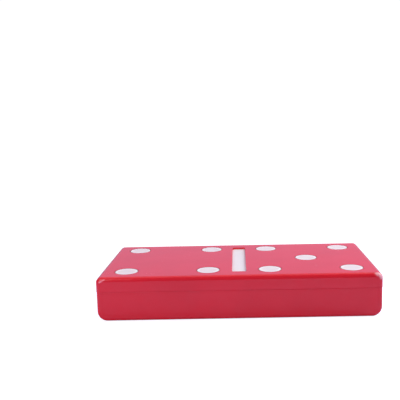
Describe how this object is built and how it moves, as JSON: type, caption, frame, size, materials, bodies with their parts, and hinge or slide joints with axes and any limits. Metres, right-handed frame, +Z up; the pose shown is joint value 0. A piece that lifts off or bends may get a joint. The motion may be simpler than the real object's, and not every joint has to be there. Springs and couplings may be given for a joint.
{
  "type": "domino box",
  "caption": "Games case shaped like a giant domino, with a lift-off lid, a tray of pockets and the tiles, dice, cards, draughts, chessmen and folding board it stores.",
  "frame": {"origin": "middle of the underside of the base, on the surface the case stands on", "axes": "+X along the length, from the square with four spots to the square with five; +Y to the back; +Z up"},
  "size_m": [0.32, 0.16, 0.05],
  "materials": {
    "red_case": "glossy moulded red",
    "white_inlay": "satin white",
    "tray": "thin formed black sheet, matt",
    "board_plastic": "fine moulded grain",
    "board_sheet": "printed squares under satin lacquer",
    "spine_cloth": "woven tape",
    "tile": "polished ivory colour with black spots",
    "die": "polished white with black spots",
    "light_men": "satin cream",
    "dark_men": "satin black",
    "carton": "coated board",
    "cards": "cut edges of coated paper"
  },
  "bodies": {
    "case_base": {"base_shell": "red_case"},
    "folded_board": {"board_lower_leaf": "board_plastic", "board_lower_sheet": "board_sheet", "board_spine": "spine_cloth", "board_upper_leaf": "board_plastic", "board_upper_sheet": "board_sheet"},
    "loaded_tray": {"card_box": "carton", "card_pack": "cards", "dark_chess_pawns": "dark_men", "dark_chess_pieces": "dark_men", "dark_draughts": "dark_men", "die_1": "die", "die_2": "die", "die_3": "die", "die_4": "die", "die_5": "die", "domino_0_0": "tile", "domino_0_1": "tile", "domino_0_2": "tile", "domino_0_3": "tile", "domino_0_4": "tile", "domino_0_5": "tile", "domino_0_6": "tile", "domino_1_1": "tile", "domino_1_2": "tile", "domino_1_3": "tile", "domino_1_4": "tile", "domino_1_5": "tile", "domino_1_6": "tile", "domino_2_2": "tile", "domino_2_3": "tile", "domino_2_4": "tile", "domino_2_5": "tile", "domino_2_6": "tile", "domino_3_3": "tile", "domino_3_4": "tile", "domino_3_5": "tile", "domino_3_6": "tile", "domino_4_4": "tile", "domino_4_5": "tile", "domino_4_6": "tile", "domino_5_5": "tile", "domino_5_6": "tile", "domino_6_6": "tile", "light_chess_pawns": "light_men", "light_chess_pieces": "light_men", "light_draughts": "light_men", "tray": "tray"},
    "lid": {"lid_shell": "red_case", "pip_left_inner_back": "white_inlay", "pip_left_inner_front": "white_inlay", "pip_left_outer_back": "white_inlay", "pip_left_outer_front": "white_inlay", "pip_right_inner_back": "white_inlay", "pip_right_inner_front": "white_inlay", "pip_right_middle": "white_inlay", "pip_right_outer_back": "white_inlay", "pip_right_outer_front": "white_inlay", "white_bar": "white_inlay"}
  },
  "joints": [
    {"name": "board_lift", "type": "slide", "parent": "case_base", "child": "folded_board", "axis": [0, 0, 1], "range_m": [0, 0.05]},
    {"name": "tray_lift", "type": "slide", "parent": "folded_board", "child": "loaded_tray", "axis": [0, 0, 1], "range_m": [0, 0.06]},
    {"name": "lid_lift", "type": "slide", "parent": "loaded_tray", "child": "lid", "axis": [0, 0, 1], "range_m": [0, 0.12]}
  ]
}
